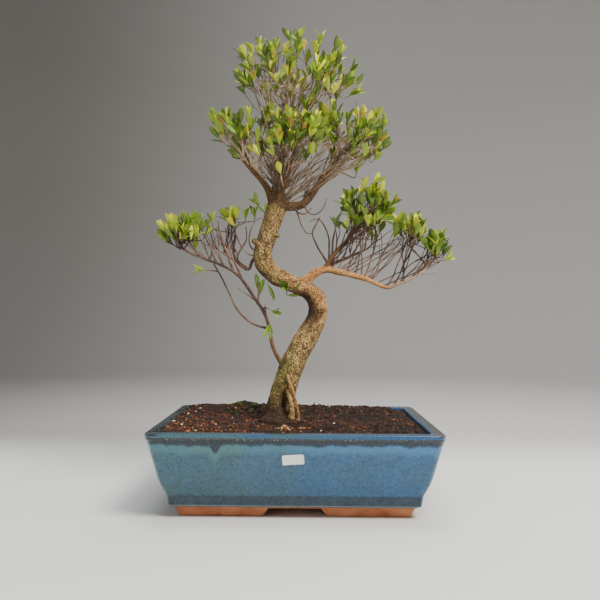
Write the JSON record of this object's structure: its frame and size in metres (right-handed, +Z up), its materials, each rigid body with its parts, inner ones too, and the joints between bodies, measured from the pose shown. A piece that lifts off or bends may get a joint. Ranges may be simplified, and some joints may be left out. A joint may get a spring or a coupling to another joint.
{
  "type": "brush cherry bonsai",
  "caption": "Small trained tree with an S-curved trunk and pads of narrow leaves, growing in soil in a glazed rectangular tray pot with corner feet and drain holes.",
  "frame": {"origin": "on the surface the pot stands on, under the middle of the whole object's bounding box, 7 mm to the right of the pot's own middle", "axes": "+X to the viewer's right along the pot's long side, +Y away from the viewer, +Z up"},
  "size_m": [0.372, 0.25, 0.6212],
  "materials": {
    "glazed_pot": "mottled blue gloss glaze over unglazed terracotta feet",
    "soil": "dark red-brown granular potting soil",
    "bark": "rough flaking olive-tan bark",
    "leaves": "semi-gloss green leaves",
    "paper_label": "matt white paper",
    "screen_mesh": "black plastic mesh"
  },
  "bodies": {
    "root": {"drain_screen_left": "screen_mesh", "drain_screen_right": "screen_mesh", "label": "paper_label", "pot": "glazed_pot", "shoot_01": "leaves", "shoot_02": "leaves", "shoot_03": "leaves", "shoot_04": "leaves", "shoot_05": "leaves", "shoot_06": "leaves", "shoot_07": "leaves", "shoot_08": "leaves", "shoot_09": "leaves", "shoot_10": "leaves", "shoot_11": "leaves", "shoot_12": "leaves", "shoot_13": "leaves", "shoot_14": "leaves", "shoot_15": "leaves", "shoot_16": "leaves", "shoot_17": "leaves", "shoot_18": "leaves", "shoot_19": "leaves", "shoot_20": "leaves", "shoot_21": "leaves", "shoot_22": "leaves", "shoot_23": "leaves", "shoot_24": "leaves", "shoot_25": "leaves", "shoot_26": "leaves", "shoot_27": "leaves", "shoot_28": "leaves", "shoot_29": "leaves", "shoot_30": "leaves", "shoot_31": "leaves", "shoot_32": "leaves", "shoot_33": "leaves", "shoot_34": "leaves", "shoot_35": "leaves", "shoot_36": "leaves", "shoot_37": "leaves", "shoot_38": "leaves", "shoot_39": "leaves", "shoot_40": "leaves", "shoot_41": "leaves", "shoot_42": "leaves", "shoot_43": "leaves", "shoot_44": "leaves", "shoot_45": "leaves", "shoot_46": "leaves", "shoot_47": "leaves", "shoot_48": "leaves", "soil": "soil", "trunk": "bark"}
  },
  "joints": []
}
